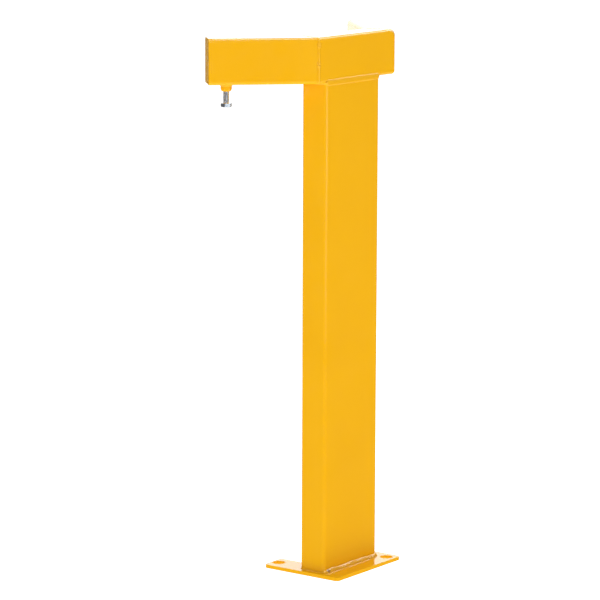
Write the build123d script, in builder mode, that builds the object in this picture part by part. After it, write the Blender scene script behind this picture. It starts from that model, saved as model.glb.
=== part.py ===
"""Floor-standing welded steel post with a cranked three-piece head.

A rectangular tube stands on a cut base plate.  Its head is three lengths of smaller rectangular
tube, mitred into a shallow C that opens to the back.  A nut is welded under each arm, near the tip,
and carries a head-down adjusting bolt.

Frame: origin where the post's centre line meets the floor, +Z up, X along the wide face of the
post, +Y to the back, which is the side the arms turn towards.
"""
import os
from math import cos, radians, sin, tan

from build123d import *

# ---- driving dimensions (mm) -----------------------------------------------------------------
overall_height = 900.0        # floor to the top of the head

post_width = 150.0            # post section along X
tube_depth = 50.0             # depth of the post and head sections
head_height = 75.0            # head section, standing on edge
corner_radius = 6.0           # outside corner of every tube section
tube_wall = 3.0

head_front_length = 212.0     # outer face of the middle length, corner to corner
head_shift = 11.0             # middle length's centre, along X from the post's centre
arm_front_length = 180.0      # outer face of an arm, mitre corner to tip, cap included
arm_turn = 45.0               # degrees each arm turns back
cap_thickness = 4.0

plate_thickness = 6.0
plate_front = 36.0            # plate beyond the post's front face
plate_back = 12.0             # plate beyond the post's back face
plate_left = 12.0             # plate beyond the post's left face
plate_right = 21.0            # plate beyond the post's right face
plate_corner = 6.0
ear_width = 47.0              # ear along X, from the plate's left edge
ear_reach = 54.0              # ear beyond the plate's back edge
anchor_hole_d = 22.0
ear_hole_inset = 13.0         # ear's end to the centre of its hole
front_hole_inset = 16.0       # plate's front edge to the centre of the other hole
side_hole_inset = 19.0        # plate's right edge to the same hole

bolt_d = 10.0                 # M10 hexagon set screw
bolt_length = 60.0
bolt_across_flats = 16.0
bolt_head_height = 6.4
bolt_from_tip = 31.5          # arm's tip to the bolt's axis
bolt_drop = 31.0              # arm's underside to the seat under the bolt's head
nut_across_flats = 16.0
nut_height = 12.0
thread_clearance = 0.05       # radial, bolt in nut
wall_hole_clearance = 1.0     # radial, bolt in the arm's lower wall
hex_chamfer_height = 0.6      # conical chamfer on the free end of bolt heads and nuts
hex_chamfer_width = 1.2
bolt_tip_chamfer = 1.2
bolt_head_turn = 8.0         # degrees, where the head happens to stand

foot_weld_leg = 5.0
foot_weld_side = 2.0          # the same weld past the post's narrow faces
side_weld_leg = 2.0           # fillets where the post's narrow faces meet the head
seam_proud = 1.2              # how far the seam bead under the head stands out
seam_half_width = 5.0
mitre_proud = 0.8
mitre_half_width = 2.5
dressing_radius = 12.0        # right mitre's outer top corner, ground round
nut_weld_leg = 2.5            # out from the nut, along the arm's underside
nut_weld_height = 4.0         # down the nut
weld_lip = 0.3                # least thickness at a weld's toe

# ---- places worked out from them -------------------------------------------------------------
head_bottom = overall_height - head_height
head_mid = overall_height - head_height / 2
half_width = post_width / 2
half_depth = tube_depth / 2
turn = radians(arm_turn)
mitre_set = half_depth * tan(turn / 2)      # outer corner to centre line, along a tube
mitre_x = head_front_length / 2 - mitre_set
arm_centre_length = arm_front_length - mitre_set
tube_centre_length = arm_centre_length - cap_thickness

plate_x0 = -half_width - plate_left
plate_x1 = half_width + plate_right
plate_y0 = -half_depth - plate_front
plate_y1 = half_depth + plate_back
ear_x1 = plate_x0 + ear_width
ear_y1 = plate_y1 + ear_reach
ear_hole = (plate_x0 + ear_width / 2, ear_y1 - ear_hole_inset)
front_hole = (plate_x1 - side_hole_inset, plate_y0 + front_hole_inset)

bolt_r = bolt_d / 2
bolt_corner_r = bolt_across_flats / 2 / cos(radians(30))
nut_corner_r = nut_across_flats / 2 / cos(radians(30))
bolt_seat = head_bottom - bolt_drop


def arm_plane(side, along=0.0):
    """Section plane across an arm, facing its tip, at a distance along its centre line."""
    out = Vector(side * cos(turn), sin(turn), 0)
    start = Vector(head_shift + side * mitre_x, 0, head_mid)
    return Plane(origin=start + out * along, x_dir=(-out.Y, out.X, 0), z_dir=out)


def mitre_plane(side):
    """Plane of a mitre, facing the arm."""
    half = turn / 2
    origin = (head_shift + side * mitre_x, 0, head_mid)
    return Plane(origin=origin, x_dir=(0, 0, 1), z_dir=(side * cos(half), sin(half), 0))


def ground_corner(side):
    """What is ground off a mitre's outer top corner: all that stands outside a quarter round."""
    half = turn / 2
    corner = Plane(
        origin=(head_shift + side * head_front_length / 2, -half_depth, overall_height),
        x_dir=(side * sin(half), -cos(half), 0),
        z_dir=(side * cos(half), sin(half), 0),
    )
    size = dressing_radius + 2 * mitre_proud
    down = 1 if corner.y_dir.Z < 0 else -1
    with BuildPart() as waste:
        with BuildSketch(corner):
            middle = size / 2 - dressing_radius
            with Locations((middle, -down * middle)):
                Rectangle(size, size)
            with Locations((-dressing_radius, down * dressing_radius)):
                Circle(dressing_radius, mode=Mode.SUBTRACT)
        extrude(amount=2 * tube_depth, both=True)
    return waste.part


def bolt_axis(side):
    """Point on the bolt's axis, at the arm's underside."""
    tip = arm_plane(side, arm_centre_length - bolt_from_tip).origin
    return tip.X, tip.Y


def head_section(grow=0.0):
    """Outline of the head tube, in the current sketch."""
    return RectangleRounded(tube_depth + 2 * grow, head_height + 2 * grow, corner_radius + grow)


def post_section(grow=0.0):
    """Outline of the post, in the current sketch."""
    return RectangleRounded(post_width + 2 * grow, tube_depth + 2 * grow, corner_radius + grow)


def middle_bar(grow=0.0):
    """Solid bar with the middle length's outer shape."""
    reach = head_front_length / 2 + tube_depth
    start = Plane(origin=(head_shift - reach, 0, head_mid), x_dir=(0, -1, 0), z_dir=(1, 0, 0))
    with BuildPart() as bar:
        with BuildSketch(start):
            head_section(grow)
        extrude(amount=2 * reach)
        for side in (-1, 1):
            split(bisect_by=mitre_plane(side), keep=Keep.BOTTOM)
    return bar.part


def arm_bar(side, length, grow=0.0):
    """Solid bar with an arm's outer shape, from its mitre to a length along the centre line."""
    with BuildPart() as bar:
        with BuildSketch(arm_plane(side, -tube_depth)):
            head_section(grow)
        extrude(amount=tube_depth + length)
        split(bisect_by=mitre_plane(side), keep=Keep.TOP)
    return bar.part


def finish(part, label):
    """Name a piece and write it."""
    part.label = label
    export_step(part, f"parts/{label}.step")


os.makedirs("parts", exist_ok=True)

# ---- base plate ------------------------------------------------------------------------------
with BuildPart() as base_plate:
    with BuildSketch():
        with BuildLine():
            Polyline(
                (plate_x0, plate_y0),
                (plate_x1, plate_y0),
                (plate_x1, plate_y1),
                (ear_x1, plate_y1),
                (ear_x1, ear_y1),
                (plate_x0, ear_y1),
                close=True,
            )
        make_face()
    extrude(amount=plate_thickness)
    fillet(base_plate.edges().filter_by(Axis.Z), radius=plate_corner)
    with Locations((*ear_hole, plate_thickness), (*front_hole, plate_thickness)):
        Hole(radius=anchor_hole_d / 2)
finish(base_plate.part, "base_plate")

# ---- post ------------------------------------------------------------------------------------
with BuildPart() as post_tube:
    with BuildSketch(Plane.XY.offset(plate_thickness)):
        post_section()
        offset(amount=-tube_wall, mode=Mode.SUBTRACT)
    extrude(amount=head_bottom - plate_thickness)
finish(post_tube.part, "post_tube")

# ---- head: the middle length over the post ---------------------------------------------------
middle_full = middle_bar()
middle_hollow = middle_bar(-tube_wall)
ground_off = ground_corner(1)
with BuildPart() as head_tube:
    add(middle_full)
    add(middle_hollow, mode=Mode.SUBTRACT)
    add(ground_off, mode=Mode.SUBTRACT)
finish(head_tube.part, "head_tube")

# ---- weld round the foot of the post ---------------------------------------------------------
with BuildPart() as post_foot_weld:
    with BuildSketch(Plane.XY.offset(plate_thickness)):
        post_section(foot_weld_leg + weld_lip)
    extrude(amount=foot_weld_leg, taper=45)
    with BuildSketch(Plane.XY.offset(plate_thickness)):
        post_section()
    extrude(amount=foot_weld_leg, mode=Mode.SUBTRACT)
    with BuildSketch(Plane.XY.offset(plate_thickness)):
        Rectangle(post_width + 2 * foot_weld_side, 2 * tube_depth)
    extrude(amount=foot_weld_leg, mode=Mode.INTERSECT)
finish(post_foot_weld.part, "post_foot_weld")

# ---- weld between the post and the head: seam beads front and back, fillets at the sides -----
arm_full = {side: arm_bar(side, arm_centre_length) for side in (-1, 1)}
with BuildPart() as post_full:
    with BuildSketch(Plane.XY.offset(plate_thickness)):
        post_section()
    extrude(amount=head_bottom - plate_thickness)

with BuildPart() as post_head_weld:
    with BuildSketch(Plane.XY.offset(head_bottom - seam_half_width)):
        post_section(seam_proud)
    extrude(amount=2 * seam_half_width)
    rims = post_head_weld.faces().filter_by(Axis.Z).edges()
    fillet(rims, radius=0.8 * seam_proud)
    with BuildSketch(Plane.XZ.offset(corner_radius - half_depth)):
        for side in (-1, 1):
            with BuildLine():
                Polyline(
                    (side * (half_width - seam_proud), head_bottom),
                    (side * (half_width + side_weld_leg), head_bottom),
                    (side * (half_width - seam_proud), head_bottom - side_weld_leg - seam_proud),
                    close=True,
                )
            make_face()
    extrude(amount=tube_depth - 2 * corner_radius)
    for bar in (post_full.part, middle_full, *arm_full.values()):
        add(bar, mode=Mode.SUBTRACT)
finish(post_head_weld.part, "post_head_weld")

# ---- arms, caps, nuts, bolts and their welds -------------------------------------------------
for side, hand in ((-1, "left"), (1, "right")):
    bolt_x, bolt_y = bolt_axis(side)
    along_arm = arm_plane(side).z_dir
    arm_hollow = arm_bar(side, arm_centre_length, -tube_wall)
    middle_grown = middle_bar(mitre_proud)
    arm_grown = arm_bar(side, tube_depth, mitre_proud)

    with BuildPart() as arm_tube:
        add(arm_bar(side, tube_centre_length))
        add(arm_hollow, mode=Mode.SUBTRACT)
        if side > 0:
            add(ground_off, mode=Mode.SUBTRACT)
        with Locations((bolt_x, bolt_y, head_bottom)):
            Cylinder(bolt_r + wall_hole_clearance, 3 * tube_wall, mode=Mode.SUBTRACT)
    finish(arm_tube.part, f"{hand}_arm_tube")

    with BuildPart() as arm_cap:
        with BuildSketch(arm_plane(side, tube_centre_length)):
            head_section()
        extrude(amount=cap_thickness)
    finish(arm_cap.part, f"{hand}_arm_cap")

    with BuildPart() as mitre_weld:
        add(middle_grown)
        add(arm_grown)
        with BuildSketch(mitre_plane(side).offset(-mitre_half_width)):
            Rectangle(3 * head_height, 3 * head_height)
        extrude(amount=2 * mitre_half_width, mode=Mode.INTERSECT)
        for piece in (middle_full, arm_full[side], post_full.part, post_head_weld.part):
            add(piece, mode=Mode.SUBTRACT)
        if side > 0:
            add(ground_off, mode=Mode.SUBTRACT)
    finish(mitre_weld.part, f"{hand}_mitre_weld")

    with BuildPart() as weld_nut:
        nut_foot = Plane(origin=(bolt_x, bolt_y, head_bottom - nut_height), x_dir=along_arm)
        with BuildSketch(nut_foot):
            Circle(nut_corner_r)
        extrude(amount=nut_height)
        foot_rim = weld_nut.faces().sort_by(Axis.Z)[0].edges()
        chamfer(foot_rim, length=hex_chamfer_height, length2=hex_chamfer_width)
        with BuildSketch(nut_foot):
            RegularPolygon(nut_across_flats / 2, 6, major_radius=False)
        extrude(amount=nut_height, mode=Mode.INTERSECT)
        with BuildSketch(nut_foot):
            Circle(bolt_r + thread_clearance)
        extrude(amount=nut_height, mode=Mode.SUBTRACT)
    finish(weld_nut.part, f"{hand}_weld_nut")

    with BuildPart() as nut_weld:
        with Locations((bolt_x, bolt_y, head_bottom - nut_weld_height)):
            Cone(
                nut_corner_r + weld_lip,
                nut_corner_r + nut_weld_leg,
                nut_weld_height,
                align=(Align.CENTER, Align.CENTER, Align.MIN),
            )
        with BuildSketch(nut_foot):
            RegularPolygon(nut_across_flats / 2, 6, major_radius=False)
        extrude(amount=nut_height, mode=Mode.SUBTRACT)
    finish(nut_weld.part, f"{hand}_nut_weld")

    with BuildPart() as jack_bolt:
        head_foot = Plane(origin=(bolt_x, bolt_y, bolt_seat - bolt_head_height), x_dir=along_arm)
        with BuildSketch(head_foot):
            Circle(bolt_corner_r)
        extrude(amount=bolt_head_height)
        foot_rim = jack_bolt.faces().sort_by(Axis.Z)[0].edges()
        chamfer(foot_rim, length=hex_chamfer_height, length2=hex_chamfer_width)
        with BuildSketch(head_foot):
            RegularPolygon(bolt_across_flats / 2, 6, major_radius=False, rotation=bolt_head_turn)
        extrude(amount=bolt_head_height, mode=Mode.INTERSECT)
        with BuildSketch(Plane(origin=(bolt_x, bolt_y, bolt_seat))):
            Circle(bolt_r)
        extrude(amount=bolt_length)
        chamfer(jack_bolt.faces().sort_by(Axis.Z)[-1].edges(), length=bolt_tip_chamfer)
    finish(jack_bolt.part, f"{hand}_jack_bolt")
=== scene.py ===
import math

import bmesh
import bpy
from mathutils import Matrix, Vector, noise


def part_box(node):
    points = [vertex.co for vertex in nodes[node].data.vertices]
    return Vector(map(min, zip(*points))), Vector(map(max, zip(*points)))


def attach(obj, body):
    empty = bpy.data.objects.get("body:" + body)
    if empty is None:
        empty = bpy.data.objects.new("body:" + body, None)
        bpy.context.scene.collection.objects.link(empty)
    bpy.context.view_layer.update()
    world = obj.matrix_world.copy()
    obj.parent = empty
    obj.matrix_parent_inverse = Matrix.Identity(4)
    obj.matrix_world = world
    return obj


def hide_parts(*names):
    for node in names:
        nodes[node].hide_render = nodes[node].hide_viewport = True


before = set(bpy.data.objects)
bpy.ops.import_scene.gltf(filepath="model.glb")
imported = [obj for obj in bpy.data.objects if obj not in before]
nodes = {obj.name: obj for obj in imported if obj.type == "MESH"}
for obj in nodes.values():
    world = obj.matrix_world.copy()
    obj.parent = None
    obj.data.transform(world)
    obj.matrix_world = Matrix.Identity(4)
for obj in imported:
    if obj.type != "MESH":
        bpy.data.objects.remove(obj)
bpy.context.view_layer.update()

scene = bpy.context.scene
MM = 0.001


# ---- camera ----------------------------------------------------------------------------------
def make_camera():
    """A long lens, far off, looking slightly down at the front left corner of the post."""
    yaw, pitch, roll = 0.63644, 0.17296, 0.00345
    out = math.cos(pitch)
    ahead = Vector((math.cos(yaw) * out, math.sin(yaw) * out, -math.sin(pitch)))
    level = Vector((math.sin(yaw), -math.cos(yaw), 0))
    rise = level.cross(ahead)
    right = math.cos(roll) * level + math.sin(roll) * rise
    up = -math.sin(roll) * level + math.cos(roll) * rise
    data = bpy.data.cameras.new("camera")
    data.sensor_width = 36
    data.lens = 188.383
    data.clip_start, data.clip_end = 0.1, 200
    cam = bpy.data.objects.new("camera", data)
    basis = Matrix((right, up, -ahead)).transposed()
    cam.matrix_world = Matrix.Translation((-4.18180, -3.00789, 1.35495)) @ basis.to_4x4()
    scene.collection.objects.link(cam)
    scene.camera = cam


# ---- light and floor -------------------------------------------------------------------------
def make_softbox(name, place, aim, width, height, radiance, colour=(1, 1, 1)):
    """Rectangular studio panel with a given surface brightness, unseen by the camera."""
    data = bpy.data.lights.new(name, "AREA")
    data.shape = "RECTANGLE"
    data.size, data.size_y = width, height
    data.energy = radiance * math.pi * width * height
    data.color = colour
    lamp = bpy.data.objects.new(name, data)
    lamp.location = place
    lamp.rotation_euler = (Vector(aim) - Vector(place)).to_track_quat("-Z", "Y").to_euler()
    lamp.visible_camera = False
    scene.collection.objects.link(lamp)


def make_studio():
    """Pale floor and backdrop, a soft key from the viewer's side and a bright screen behind."""
    world = bpy.data.worlds.new("studio")
    world.use_nodes = True
    tree = world.node_tree
    coord = tree.nodes.new("ShaderNodeTexCoord")
    split = tree.nodes.new("ShaderNodeSeparateXYZ")
    height = tree.nodes.new("ShaderNodeMapRange")
    height.inputs["From Min"].default_value = -1.0
    shade = tree.nodes.new("ShaderNodeValToRGB")
    # bright straight down, as off a pale floor, with a dark band just under the horizon
    stops = ((0.0, 0.55), (0.25, 0.50), (0.33, 0.06), (0.45, 0.06), (0.62, 0.30))
    line = shade.color_ramp.elements
    for at, _ in stops[1:-1]:
        line.new(at)
    for element, (at, grey) in zip(line, stops):
        element.position = at
        element.color = (grey, grey, grey, 1)
    tree.links.new(coord.outputs["Generated"], split.inputs["Vector"])
    tree.links.new(split.outputs["Z"], height.inputs["Value"])
    tree.links.new(height.outputs["Result"], shade.inputs["Fac"])
    # the backdrop is white to the eye, and shaded as above only in reflections
    seen = tree.nodes.new("ShaderNodeLightPath")
    backdrop = tree.nodes.new("ShaderNodeMix")
    backdrop.data_type = "RGBA"
    tree.links.new(seen.outputs["Is Camera Ray"], backdrop.inputs["Factor"])
    tree.links.new(shade.outputs["Color"], backdrop.inputs["A"])
    backdrop.inputs["B"].default_value = (1, 1, 1, 1)
    tree.links.new(backdrop.outputs["Result"], tree.nodes["Background"].inputs["Color"])
    scene.world = world
    scene.view_settings.view_transform = "Standard"

    make_softbox("key", (-2.95, -1.90, 2.0), (0, 0, 0.5), 1.8, 1.2, 3.1)
    make_softbox("side_left", (-2.9, 1.9, 2.0), (0, 0, 0.5), 1.4, 1.0, 3.0)
    make_softbox("overhead", (0, -0.1, 2.9), (0, 0, 0.5), 1.1, 1.1, 6.6)
    make_softbox("high_right", (2.2, -0.25, 2.1), (0, 0, 0.5), 1.1, 1.0, 4.0)
    make_softbox("screen", (1.41, 1.04, 0.95), (0, 0, 0.80), 1.20, 1.5, 1.9)
    make_softbox("low_fill", (0.15, -1.7, 0.28), (0, 0, 0.10), 1.8, 0.5, 0.45,
                 (1.0, 0.80, 0.35))
    make_softbox("seam", (0.23, -1.97, 0.52), (-0.10, -0.03, 0.86), 0.4, 0.2, 4.0)
    make_softbox("card", (-0.66, -1.29, 0.45), (-0.18, 0.10, 0.79), 0.40, 0.55, 2.5,
                 (0.80, 0.90, 1.0))

    size = 40.0
    mesh = bpy.data.meshes.new("floor")
    corners = [(-size, -size, 0), (size, -size, 0), (size, size, 0), (-size, size, 0)]
    mesh.from_pydata(corners, [], [(0, 1, 2, 3)])
    floor = bpy.data.objects.new("floor", mesh)
    floor.visible_glossy = False
    scene.collection.objects.link(floor)
    mat = bpy.data.materials.new("floor")
    mat.use_nodes = True
    shader = mat.node_tree.nodes["Principled BSDF"]
    shader.inputs["Base Color"].default_value = (0.6, 0.6, 0.6, 1)
    shader.inputs["Roughness"].default_value = 0.9
    shader.inputs["Specular IOR Level"].default_value = 0.0
    shader.inputs["Emission Color"].default_value = (1, 1, 1, 1)
    shader.inputs["Emission Strength"].default_value = 1.0
    mesh.materials.append(mat)


make_camera()
make_studio()


# ---- materials -------------------------------------------------------------------------------
class Tree:
    """Short way to wire a node material that works in object coordinates, in metres."""

    def __init__(self, name):
        self.mat = bpy.data.materials.new(name)
        self.mat.use_nodes = True
        self.nodes = self.mat.node_tree.nodes
        self.links = self.mat.node_tree.links
        self.shader = self.nodes["Principled BSDF"]
        self.place = self.nodes.new("ShaderNodeTexCoord").outputs["Object"]

    def noise(self, scale, detail, at=None):
        made = self.nodes.new("ShaderNodeTexNoise")
        made.inputs["Scale"].default_value = scale
        made.inputs["Detail"].default_value = detail
        self.links.new(at or self.place, made.inputs["Vector"])
        return made.outputs["Fac"]

    def stretched(self, scale):
        """Object coordinates scaled by axis."""
        made = self.nodes.new("ShaderNodeMapping")
        made.inputs["Scale"].default_value = scale
        self.links.new(self.place, made.inputs["Vector"])
        return made.outputs["Vector"]

    def near(self, point, inner, outer):
        """1 within inner of a point, falling to 0 at outer."""
        made = self.nodes.new("ShaderNodeVectorMath")
        made.operation = "DISTANCE"
        made.inputs[1].default_value = point
        self.links.new(self.place, made.inputs[0])
        return self.span(made.outputs["Value"], inner, outer, 1.0, 0.0)

    def ramp(self, fac, stops):
        made = self.nodes.new("ShaderNodeValToRGB")
        line = made.color_ramp
        while len(line.elements) < len(stops):
            line.elements.new(0.5)
        for element, (at, colour) in zip(line.elements, stops):
            element.position = at
            element.color = (*colour, 1)
        self.links.new(fac, made.inputs["Fac"])
        return made.outputs["Color"]

    def mix(self, fac, first, second):
        """Blend a colour output into a plain colour by a factor."""
        made = self.nodes.new("ShaderNodeMix")
        made.data_type = "RGBA"
        self.links.new(fac, made.inputs["Factor"])
        self.links.new(first, made.inputs["A"])
        made.inputs["B"].default_value = (*second, 1)
        return made.outputs["Result"]

    def span(self, fac, low, high, out_low, out_high):
        made = self.nodes.new("ShaderNodeMapRange")
        ends = {"From Min": low, "From Max": high, "To Min": out_low, "To Max": out_high}
        for key, value in ends.items():
            made.inputs[key].default_value = value
        self.links.new(fac, made.inputs["Value"])
        return made.outputs["Result"]

    def bump(self, height, strength, distance, onto=None):
        made = self.nodes.new("ShaderNodeBump")
        made.inputs["Strength"].default_value = strength
        made.inputs["Distance"].default_value = distance
        self.links.new(height, made.inputs["Height"])
        if onto is not None:
            self.links.new(onto, made.inputs["Normal"])
        return made.outputs["Normal"]

    def to(self, socket, output):
        self.links.new(output, self.shader.inputs[socket])


YELLOW_LIGHT = (0.93, 0.470, 0.0035)
YELLOW_DEEP = (0.90, 0.446, 0.0028)
# painted shade: the dark yellow-brown of a weld pit in shadow, drawn as colour with no dent
PIT_SHADE_BROWN = (0.30, 0.13, 0.010)


def powder_coat(name, peel, gloss=0.5, pit=None):
    """Glossy powder coat: fine orange peel, a slow random drift of tone, gloss that varies a
    little; where pit is given, a dark brown spot of painted shade for a weld pit.
    """
    t = Tree(name)
    shade = t.ramp(t.noise(7.0, 3.0), [(0.30, YELLOW_DEEP), (0.70, YELLOW_LIGHT)])
    if pit is not None:
        # painted shade: the weld pit is a dark brown spot in the colour, with no dent in the
        # surface
        shade = t.mix(t.near(pit, 2.0 * MM, 5.5 * MM), shade, PIT_SHADE_BROWN)
    t.to("Base Color", shade)
    t.to("Roughness", t.span(t.noise(55.0, 3.0), 0.3, 0.7, 0.09, 0.16))
    wave = t.bump(t.noise(42.0, 1.0), 0.05, 1 * MM)
    t.to("Normal", t.bump(t.noise(620.0, 2.0), peel, 0.4 * MM, wave))
    t.shader.inputs["IOR"].default_value = 1.5
    t.shader.inputs["Specular IOR Level"].default_value = gloss
    return t.mat


def zinc(name):
    """Bright zinc plate: faintly blue, cloudy, with fine marks round the screw."""
    t = Tree(name)
    t.to("Base Color", t.ramp(t.noise(160.0, 3.0), [
        (0.30, (0.64, 0.70, 0.79)), (0.52, (0.78, 0.83, 0.90)), (0.75, (0.80, 0.82, 0.80)),
    ]))
    t.to("Roughness", t.span(t.noise(900.0, 3.0), 0.3, 0.7, 0.26, 0.40))
    t.to("Normal", t.bump(t.noise(900.0, 2.0, at=t.stretched((1, 1, 5))), 0.15, 0.15 * MM))
    t.shader.inputs["Metallic"].default_value = 1.0
    return t.mat


post_low, post_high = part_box("post_tube")
POST_HALF = Vector(((post_high[0] - post_low[0]) / 2, (post_high[1] - post_low[1]) / 2))
PLATE_TOP = post_low[2]
HEAD_BOTTOM = post_high[2]
ARM_TURN = math.radians(45)
MITRE_TURN = ARM_TURN / 2
GROUND_R = 12 * MM
BEAD_STEP = 0.8 * MM
HEX_FLATS = 16 * MM
HEX_SIXTH = math.radians(60)
HEAD_TURN = math.radians(8)
BORE_R = 5.05 * MM
TURNED_SIDES = 96
CORNER_R = 6 * MM
# centre of the weld pit at the post's foot, whose shade is painted into the weld coat's colour
PIT = Vector((post_low[0], post_low[1], PLATE_TOP)) + Vector((8.5, -2.8, 3.2)) * MM

coat = powder_coat("powder_coat", 0.16)
weld_coat = powder_coat("coated_weld", 0.10, 0.75, tuple(PIT))
zinc_plate = zinc("zinc_plate")


# ---- mesh helpers ----------------------------------------------------------------------------
def rounded_rectangle(half_u, half_v, radius, step):
    """Points (u, v) and outward normals round a rounded rectangle, evenly spaced, closed."""
    runs = []
    corners = ((1, 1), (-1, 1), (-1, -1), (1, -1))
    for k, (su, sv) in enumerate(corners):
        centre = Vector((su * (half_u - radius), sv * (half_v - radius)))
        count = max(4, round(radius * math.pi / 2 / step))
        for i in range(count):
            angle = math.pi / 2 * (k + i / count)
            out = Vector((math.cos(angle), math.sin(angle)))
            runs.append((centre + radius * out, out))
        length = 2 * ((half_u if k % 2 == 0 else half_v) - radius)
        angle = math.pi / 2 * (k + 1)
        out = Vector((round(math.cos(angle)), round(math.sin(angle))))
        along = Vector((-out.y, out.x))
        start = centre + radius * out
        count = max(1, round(length / step))
        runs += [(start + along * length * i / count, out) for i in range(count)]
    return runs


def build(name, grid, close_path, material, body, node, caps=False):
    """Mesh from a grid of points, path by closed ring, standing for a CAD node."""
    bm = bmesh.new()
    rows = [[bm.verts.new(p) for p in ring] for ring in grid]
    n_path, n_ring = len(rows), len(rows[0])
    for i in range(n_path if close_path else n_path - 1):
        a, b = rows[i], rows[(i + 1) % n_path]
        for j in range(n_ring):
            k = (j + 1) % n_ring
            bm.faces.new((a[j], a[k], b[k], b[j]))
    if caps:
        bm.faces.new(rows[0])
        bm.faces.new(rows[-1][::-1])
    bmesh.ops.recalc_face_normals(bm, faces=bm.faces)
    mesh = bpy.data.meshes.new(name)
    bm.to_mesh(mesh)
    bm.free()
    mesh.polygons.foreach_set("use_smooth", [len(p.vertices) == 4 for p in mesh.polygons])
    mesh.materials.append(material)
    piece = bpy.data.objects.new(name, mesh)
    scene.collection.objects.link(piece)
    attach(piece, body)
    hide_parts(node)
    return piece


def ease(x):
    x = min(max(x, 0.0), 1.0)
    return x * x * (3 - 2 * x)


def ripple(along, across, pitch, depth, seed):
    """Height of a bead's ripples: overlapping scallops, bent in the middle, a bit uneven."""
    drift = noise.noise(Vector((along * 35, seed, 0))) * 0.35
    phase = (along / pitch + 0.55 * across * across + drift) % 1.0
    scallop = math.sin(math.pi * phase) ** 0.7
    swell = 0.6 + 0.8 * abs(noise.noise(Vector((along * 60, seed + 9, 0))))
    return depth * scallop * swell * (1 - across * across)


def lengths(points):
    """Distance along a closed run of points."""
    total, out = 0.0, []
    for i, p in enumerate(points):
        out.append(total)
        total += (points[(i + 1) % len(points)] - p).length
    return out


# ---- weld round the foot of the post ---------------------------------------------------------
def foot_weld():
    """Fillet bead, wide along the wide faces, with a rippled face that leans to and fro."""
    leg, sunk, slim = 5.0 * MM, 1.2 * MM, 1.3 * MM
    run = rounded_rectangle(POST_HALF.x, POST_HALF.y, CORNER_R, BEAD_STEP)
    places = [Vector((*p, PLATE_TOP)) for p, _ in run]
    grid = []
    for (p, out), s in zip(run, lengths(places)):
        wander = 1 + 0.10 * noise.noise(Vector((s * 45, 3, 0)))
        lean = 0.22 * noise.noise(Vector((s * 38, 7, 0)))
        wide = ease(1.15 * abs(out.y))
        if out.y > 0:
            # the back's bead thins out towards the corners
            wide *= 1 - ease((abs(p.x) - 0.6 * POST_HALF.x) / (0.3 * POST_HALF.x))
        reach = (slim + (leg - slim) * wide) * wander
        outward = Vector((*out, 0))
        base = Vector((*p, PLATE_TOP))
        ring = [base - outward * sunk + Vector((0, 0, reach * (1 + lean))), base - outward * sunk]
        count = 9
        for j in range(count):
            f = j / (count - 1)
            across = 2 * f - 1
            bulge = 0.10 * MM * (1 - across * across) + ripple(s, across, 9.0 * MM, 0.70 * MM, 1)
            bulge *= 0.25 + 0.75 * wide
            face = outward * reach * (1 - lean) * (1 - f) + Vector((0, 0, reach * (1 + lean) * f))
            ring.append(base + face + (outward + Vector((0, 0, 1))).normalized() * bulge)
        grid.append(ring)
    build("foot_weld_bead", grid, True, weld_coat, "frame", "post_foot_weld")


# ---- weld between the post and the head ------------------------------------------------------
def head_weld():
    """One bead round the top of the post: dressed seams front and back, fillets at the sides."""
    seam = [(-0.3, -5.2), (0.45, -4.5), (0.95, -3.4), (1.15, -2.2), (1.1, -0.8), (0.95, 0.8),
            (0.7, 2.6), (0.35, 4.6), (-0.4, 6.2), (-2.0, 3.0), (-4.2, 1.0), (-3.0, 0.3),
            (-1.5, -0.5), (-1.5, -4.2)]
    fillet = [(-0.3, -3.4), (0.1, -2.8), (0.4, -2.3), (0.75, -1.8), (1.1, -1.3), (1.45, -0.9),
              (1.75, -0.5), (2.0, 0.0), (2.1, 0.5), (1.8, 1.2), (1.2, 1.4), (0.0, 1.4),
              (-1.5, 1.2), (-1.5, -2.4)]
    outer_points = 9
    run = rounded_rectangle(POST_HALF.x, POST_HALF.y, CORNER_R, BEAD_STEP)
    places = [Vector((*p, HEAD_BOTTOM)) for p, _ in run]
    grid = []
    for (p, out), s in zip(run, lengths(places)):
        side = ease(abs(out.x) * 1.25 - 0.15)
        ring = []
        for j, (a, b) in enumerate(zip(seam, fillet)):
            n, z = (Vector(a) * (1 - side) + Vector(b) * side) * MM
            if j < outer_points:
                across = j / 4 - 1
                n += ripple(s, across, 4.5 * MM, 0.28 * MM, 5)
            ring.append(Vector((*p, HEAD_BOTTOM)) + Vector((*out, 0)) * n + Vector((0, 0, z)))
        grid.append(ring)
    build("head_weld_bead", grid, True, weld_coat, "frame", "post_head_weld")


# ---- mitre welds -----------------------------------------------------------------------------
def arm_frame(side):
    """An arm's mitre on the head's middle plane, its heading, and half the head's height."""
    low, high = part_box("head_tube")
    outer_x = low[0] if side < 0 else high[0]
    mitre_x = outer_x - side * POST_HALF.y * math.tan(MITRE_TURN)
    mitre = Vector((mitre_x, 0, (low[2] + high[2]) / 2))
    heading = Vector((side * math.cos(ARM_TURN), math.sin(ARM_TURN), 0))
    return mitre, heading, (high[2] - low[2]) / 2


def dressed(point):
    """A point brought down to the quarter round ground at the right mitre's outer top corner."""
    cover = GROUND_R + 0.3 * MM
    out = Vector((math.sin(MITRE_TURN), -math.cos(MITRE_TURN), 0))
    _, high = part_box("head_tube")
    rel = point - Vector((high[0], -POST_HALF.y, high[2]))
    b, h = rel.dot(out) + GROUND_R, rel.z + GROUND_R
    reach = math.hypot(b, h)
    if b <= 0 or h <= 0 or reach <= cover:
        return point
    scale = cover / reach
    return point + out * b * (scale - 1) + Vector((0, 0, h * (scale - 1)))


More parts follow.
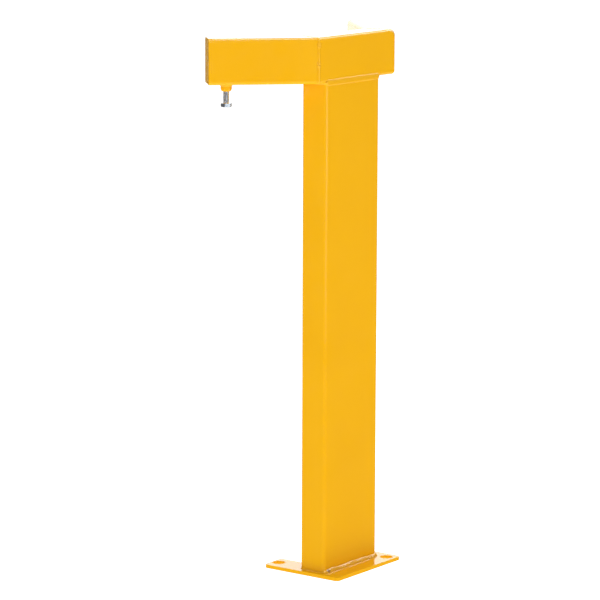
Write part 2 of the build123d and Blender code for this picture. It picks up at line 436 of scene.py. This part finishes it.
def mitre_weld(side, hand):
    """Ground bead along the mitre. The left one has a few proud spots at the outer corner."""
    mitre, _, half_h = arm_frame(side)
    slope = -side * math.tan(MITRE_TURN)
    across_dir = Vector((side * math.cos(MITRE_TURN), math.sin(MITRE_TURN), 0))
    spot_heights = [z * MM for z in (27, 23, -8, -4)]
    run = rounded_rectangle(POST_HALF.y, half_h, CORNER_R, BEAD_STEP)
    places = [mitre + Vector((p.x * slope, p.x, p.y)) for p, _ in run]
    grid = []
    for (p, out), place, s in zip(run, places, lengths(places)):
        outward = Vector((slope * out.x * 0.9, out.x, out.y)).normalized()
        proud, spots = 0.25 * MM, 0.0
        if side < 0:
            corner = ease(-out.x * 1.5 - 0.2)
            spots = corner * sum(ease(1 - abs(p.y - z) / (2.6 * MM)) for z in spot_heights)
            proud = (0.40 + 0.35 * corner + 1.4 * spots) * MM
        wander = 0.3 * noise.noise(Vector((s * 40, side + 20, 0)))
        half = (2.4 + 1.2 * spots + wander) * MM
        root = place - outward * 1.6 * MM
        ring = [root - across_dir * half]
        count = 7
        for j in range(count):
            across = 2 * j / (count - 1) - 1
            height = proud * (1 - across * across) - 0.15 * MM * across * across
            height += ripple(s, across, 3.4 * MM, 0.16 * MM, 30 + side)
            ring.append(place + outward * height + across_dir * half * across)
        ring.append(root + across_dir * half)
        if side > 0:
            ring = [dressed(v) for v in ring]
        grid.append(ring)
    build(f"{hand}_mitre_bead", grid, True, weld_coat, "frame", f"{hand}_mitre_weld")


# ---- nuts and their welds --------------------------------------------------------------------
def axis_of(node):
    """Middle of a node's box, seen from above."""
    low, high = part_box(node)
    return Vector(((low[0] + high[0]) / 2, (low[1] + high[1]) / 2))


def heading_angle(side):
    """Angle of an arm's heading, seen from above."""
    return math.pi - ARM_TURN if side < 0 else ARM_TURN


def hexagon(angle, turn):
    """Radius of a hexagon at an angle, with a corner at turn."""
    return HEX_FLATS / 2 / math.cos((angle - turn) % HEX_SIXTH - HEX_SIXTH / 2)


def turned(axis, z, radius):
    """Ring of points round a vertical axis, from a radius for each angle."""
    ring = []
    for i in range(TURNED_SIDES):
        angle = 2 * math.pi * i / TURNED_SIDES
        r = radius(angle)
        ring.append(Vector((axis.x + r * math.cos(angle), axis.y + r * math.sin(angle), z)))
    return ring


def weld_nut(side, hand):
    """Hexagon nut, its free end drawn round by chamfer and coat."""
    node = f"{hand}_weld_nut"
    low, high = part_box(node)
    axis, turn, top = axis_of(node), heading_angle(side), (high[2] - low[2]) / MM
    past_corners = 9.3
    bore = BORE_R / MM
    profile = [(0.0, bore + 0.3), (0.0, 6.0), (0.12, 6.5), (0.45, 7.1), (1.0, 7.7), (1.8, 8.25),
               (2.8, 8.7), (4.0, 9.05), (5.0, past_corners), (top, past_corners), (top, bore),
               (0.3, bore)]
    rings = [turned(axis, low[2] + rise * MM, lambda a, most=most: min(hexagon(a, turn), most * MM))
             for rise, most in profile]
    nut = build(f"{hand}_nut", rings, True, coat, "frame", node)
    sharpen(nut, 35)


def nut_weld(side, hand):
    """Small rippled fillet round the nut's root."""
    node = f"{hand}_nut_weld"
    low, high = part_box(node)
    centre = Vector((*axis_of(node), high[2]))
    outer, height = (high[0] - low[0]) / 2, high[2] - low[2]
    inner = outer - 2.6 * MM
    count, ripples, steps = 120, 15, 7
    grid = []
    for i in range(count):
        angle = 2 * math.pi * i / count
        out = Vector((math.cos(angle), math.sin(angle), 0))
        root = centre + out * (inner - 2.0 * MM)
        ring = [root - Vector((0, 0, 0.2 * MM)), root - Vector((0, 0, height))]
        for j in range(steps):
            f = j / (steps - 1)
            bulge = ripple(angle * outer, 2 * f - 1, 2 * math.pi * outer / ripples, 0.45 * MM,
                           40 + side)
            r = inner + (outer - inner) * f ** 1.15
            z = -height * (1 - f)
            ring.append(centre + out * (r + 0.5 * bulge) + Vector((0, 0, z - 0.6 * bulge)))
        ring.append(centre + out * (outer - 0.3 * MM) + Vector((0, 0, 0.5 * MM)))
        grid.append(ring)
    build(f"{hand}_nut_bead", grid, True, weld_coat, "frame", node)


# ---- end caps --------------------------------------------------------------------------------
def end_cap(side, hand):
    """Cap plate with a dressed rounded rim, and a faint weld line where it meets the tube."""
    mitre, along, half_h = arm_frame(side)
    low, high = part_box(f"{hand}_arm_cap")
    tip_reach = max(abs(low[0] - mitre.x), abs(high[0] - mitre.x))
    length = (tip_reach - POST_HALF.y * abs(along.y)) / abs(along.x)
    centre = mitre + along * length
    back = Vector((-side * along.y, side * along.x, 0))
    thick, rim = 4 * MM, 1.5 * MM
    profile = [(-thick, -0.02 * MM), (-thick + 0.5 * MM, 0.16 * MM), (-thick + 1.0 * MM, 0.02 * MM)]
    for angle in (math.radians(d) for d in range(0, 91, 15)):
        profile.append((-rim + rim * math.sin(angle), -rim + rim * math.cos(angle)))
    outline = rounded_rectangle(POST_HALF.y, half_h, CORNER_R, 1.5 * MM)
    rings = []
    for reach, grow in profile:
        grown = [p + out * grow for p, out in outline]
        rings.append([centre + along * reach + back * q.x + Vector((0, 0, q.y)) for q in grown])
    cap = build(f"{hand}_end_cap", rings, False, coat, "frame", f"{hand}_arm_cap",
                caps=True)
    sharpen(cap, 40)


# ---- screws ----------------------------------------------------------------------------------
def jack_screw(side, hand):
    """M10 hexagon screw, head down: helical thread, chamfered tip and head, small seat fillet."""
    node = f"{hand}_jack_bolt"
    low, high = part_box(node)
    axis, turn = axis_of(node), heading_angle(side) + HEAD_TURN
    head_h, crest, root, pitch = 6.4 * MM, 4.98 * MM, 4.4 * MM, 1.5 * MM
    neck_r, flat_r = 4.6 * MM, 7.4 * MM
    bottom, seat, tip = low[2], low[2] + head_h, high[2]
    corner = HEX_FLATS / 2 / math.cos(HEX_SIXTH / 2)
    rows = []

    def plain(z, radius):
        rows.append(turned(axis, z, lambda a: radius))

    def six_sided(z, most):
        rows.append(turned(axis, z, lambda a: min(hexagon(a, turn), most)))

    plain(bottom + 0.35 * MM, 2.0 * MM)
    plain(bottom + 0.35 * MM, 4.6 * MM)
    plain(bottom, 5.2 * MM)
    plain(bottom, flat_r)
    for f in (0.12, 0.3, 0.5, 0.75, 1.0):
        six_sided(bottom + f * (corner - flat_r) * 0.5, flat_r + f * (corner - flat_r))
    six_sided(seat - 0.6 * MM, corner)
    six_sided(seat - 0.35 * MM, corner - 0.15 * MM)
    six_sided(seat - 0.3 * MM, 7.9 * MM)
    plain(seat, 7.5 * MM)
    plain(seat, 5.35 * MM)
    plain(seat + 0.25 * MM, 5.0 * MM)
    plain(seat + 0.6 * MM, neck_r)

    first, last = seat + 1.0 * MM, tip - 0.1 * MM
    count = round((last - first) / (pitch / 10))
    for i in range(count + 1):
        z = first + (last - first) * i / count
        fade = min(1.0, (z - first) / (1.5 * MM))
        end = min(1.0, (tip - z) / (1.3 * MM))

        def thread(a):
            phase = (z / pitch - a / (2 * math.pi)) % 1.0
            ridge = min(1.0, max(0.0, 1.9 * (1 - abs(2 * phase - 1)) - 0.15))
            full = root + (crest - root) * ridge
            return min(neck_r + (full - neck_r) * fade, 3.9 * MM + 1.1 * MM * end)

        rows.append(turned(axis, z, thread))
    plain(tip, 3.7 * MM)
    piece = build(f"{hand}_screw", rows, False, zinc_plate, f"{hand}_bolt", node,
                  caps=True)
    sharpen(piece, 28)


def sharpen(piece, degrees):
    """Keep edges over an angle crisp while the rest is smooth."""
    bm = bmesh.new()
    bm.from_mesh(piece.data)
    for edge in bm.edges:
        edge.smooth = len(edge.link_faces) < 2 or edge.calc_face_angle(0) < math.radians(degrees)
    bm.to_mesh(piece.data)
    bm.free()


foot_weld()
head_weld()
for side, hand in ((-1, "left"), (1, "right")):
    mitre_weld(side, hand)
    weld_nut(side, hand)
    nut_weld(side, hand)
    end_cap(side, hand)
    jack_screw(side, hand)


# ---- CAD nodes that stay ---------------------------------------------------------------------
def soften(name, width):
    """Ease a CAD node's sharp edges, as blasting and coating do."""
    o = nodes[name]
    weld = o.modifiers.new("weld", "WELD")
    weld.merge_threshold = 0.01 * MM
    bevel = o.modifiers.new("bevel", "BEVEL")
    bevel.width = width
    bevel.segments = 3
    bevel.limit_method = "ANGLE"
    bevel.angle_limit = math.radians(35)
    bevel.harden_normals = True


for name, o in nodes.items():
    o.data.materials.clear()
    o.data.materials.append(coat)
soften("base_plate", 0.9 * MM)
